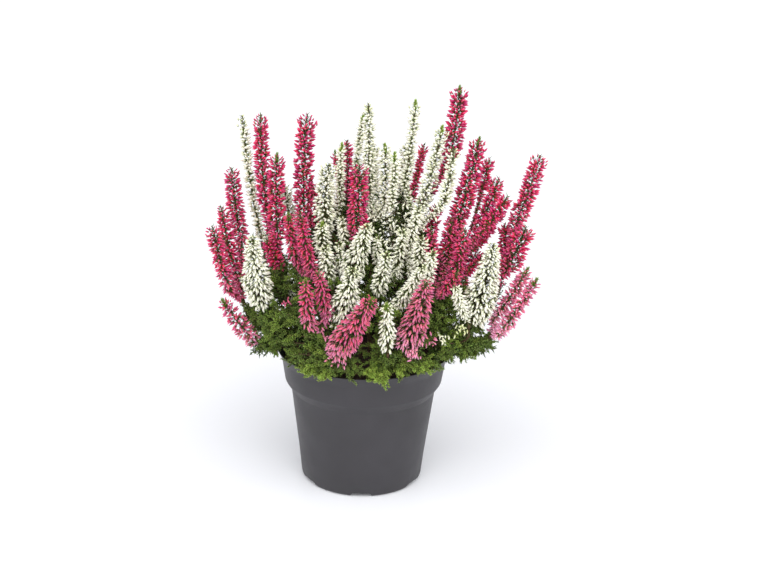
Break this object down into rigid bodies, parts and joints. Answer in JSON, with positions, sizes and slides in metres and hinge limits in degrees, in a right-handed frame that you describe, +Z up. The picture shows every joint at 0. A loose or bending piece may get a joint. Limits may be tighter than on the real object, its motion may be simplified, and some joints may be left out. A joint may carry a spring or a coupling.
{
  "type": "potted heather",
  "caption": "Bushy heather with red and white flower spikes on leafy stems, growing from dark soil in a plain tapered plastic nursery pot with a collar and a flared lip.",
  "frame": {"origin": "centre of the pot's flat underside, on the surface it stands on", "axes": "+Z up along the pot's axis, -Y towards the pictured side, +X to the right in the picture"},
  "size_m": [0.2335, 0.1877, 0.2884],
  "materials": {
    "pot_plastic": "dark anthracite moulded plastic, fine satin grain",
    "peat": "crumbly dark peat, fully matte",
    "leaves_and_stems": "small scale leaves, mid to bright green, on thin brown stems",
    "red_florets": "raspberry red buds with pink lights, soft satin",
    "white_florets": "ivory buds with green tips, soft satin"
  },
  "bodies": {
    "root": {"branch_red_a": "leaves_and_stems", "branch_red_b": "leaves_and_stems", "branch_red_c": "leaves_and_stems", "branch_red_d": "leaves_and_stems", "branch_red_e": "leaves_and_stems", "branch_red_f": "leaves_and_stems", "branch_red_g": "leaves_and_stems", "branch_red_h": "leaves_and_stems", "branch_red_i": "leaves_and_stems", "branch_red_j": "leaves_and_stems", "branch_red_k": "leaves_and_stems", "branch_red_l": "leaves_and_stems", "branch_white_a": "leaves_and_stems", "branch_white_b": "leaves_and_stems", "branch_white_c": "leaves_and_stems", "branch_white_d": "leaves_and_stems", "branch_white_e": "leaves_and_stems", "branch_white_f": "leaves_and_stems", "branch_white_g": "leaves_and_stems", "branch_white_h": "leaves_and_stems", "branch_white_i": "leaves_and_stems", "branch_white_j": "leaves_and_stems", "branch_white_k": "leaves_and_stems", "pot": "pot_plastic", "soil": "peat", "spray_red_back_tall": "red_florets", "spray_red_crown": "red_florets", "spray_red_front_left": "red_florets", "spray_red_front_pair": "red_florets", "spray_red_front_right": "red_florets", "spray_red_left": "red_florets", "spray_red_left_front": "red_florets", "spray_red_left_low": "red_florets", "spray_red_left_tall": "red_florets", "spray_red_middle": "red_florets", "spray_red_rear_1": "red_florets", "spray_red_rear_2": "red_florets", "spray_red_rear_3": "red_florets", "spray_red_rear_4": "red_florets", "spray_red_right_front": "red_florets", "spray_red_right_low": "red_florets", "spray_red_right_outer": "red_florets", "spray_red_right_tall": "red_florets", "spray_white_crown": "white_florets", "spray_white_front_left": "white_florets", "spray_white_front_low": "white_florets", "spray_white_front_slant": "white_florets", "spray_white_left_inner": "white_florets", "spray_white_left_low": "white_florets", "spray_white_left_tall": "white_florets", "spray_white_middle": "white_florets", "spray_white_middle_low": "white_florets", "spray_white_middle_right": "white_florets", "spray_white_rear_1": "white_florets", "spray_white_rear_2": "white_florets", "spray_white_rear_3": "white_florets", "spray_white_right_low": "white_florets", "spray_white_right_tall": "white_florets"}
  },
  "joints": []
}
